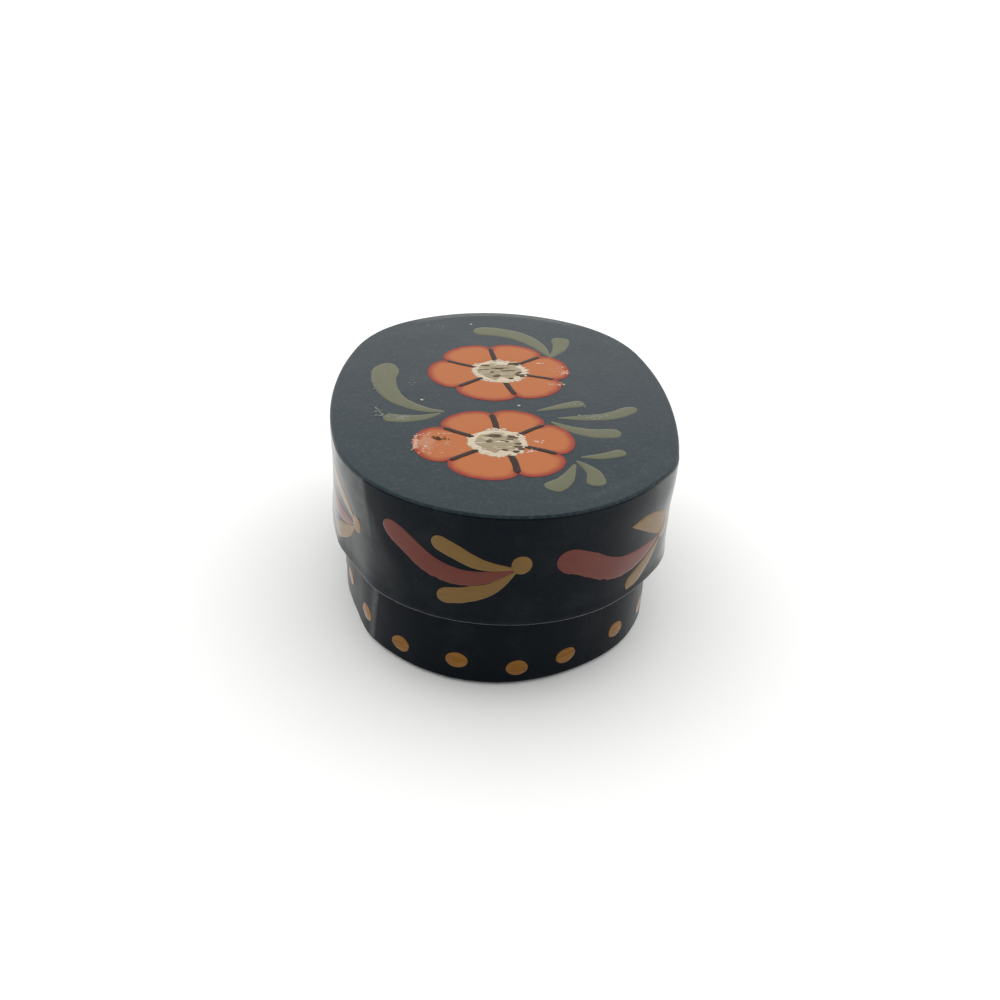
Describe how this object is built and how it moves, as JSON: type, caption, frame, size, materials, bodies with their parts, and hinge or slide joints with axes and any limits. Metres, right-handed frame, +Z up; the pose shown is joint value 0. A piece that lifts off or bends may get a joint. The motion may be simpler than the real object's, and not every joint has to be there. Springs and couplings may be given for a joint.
{
  "type": "oval trinket box",
  "caption": "Small oval keepsake box of paper-covered card, with a lift-off lid that slips down over the base; painted black with folk flowers.",
  "frame": {"origin": "on the table under the middle of the box", "axes": "+Z up, +Y along the length of the oval towards the end away from the viewer of the picture, +X to the viewer's right"},
  "size_m": [0.0504, 0.0674, 0.0278],
  "materials": {
    "card": "raw greyboard, matte and fibrous",
    "painted_paper": "pasted paper under satin black paint, hand painted and worn",
    "lining_paper": "plain brown kraft paper, matte"
  },
  "bodies": {
    "base": {"base_floor_board": "card", "base_wall_band": "card", "base_wall_wrap": "painted_paper", "base_lining_sheet": "lining_paper", "base_underside_sheet": "painted_paper"},
    "lid": {"lid_top_board": "card", "lid_rim_band": "card", "lid_rim_wrap": "painted_paper", "lid_lining_sheet": "lining_paper", "lid_top_sheet": "painted_paper"}
  },
  "joints": [
    {"name": "lid_lift", "type": "slide", "parent": "base", "child": "lid", "axis": [0, 0, 1], "range_m": [0, 0.035]}
  ]
}
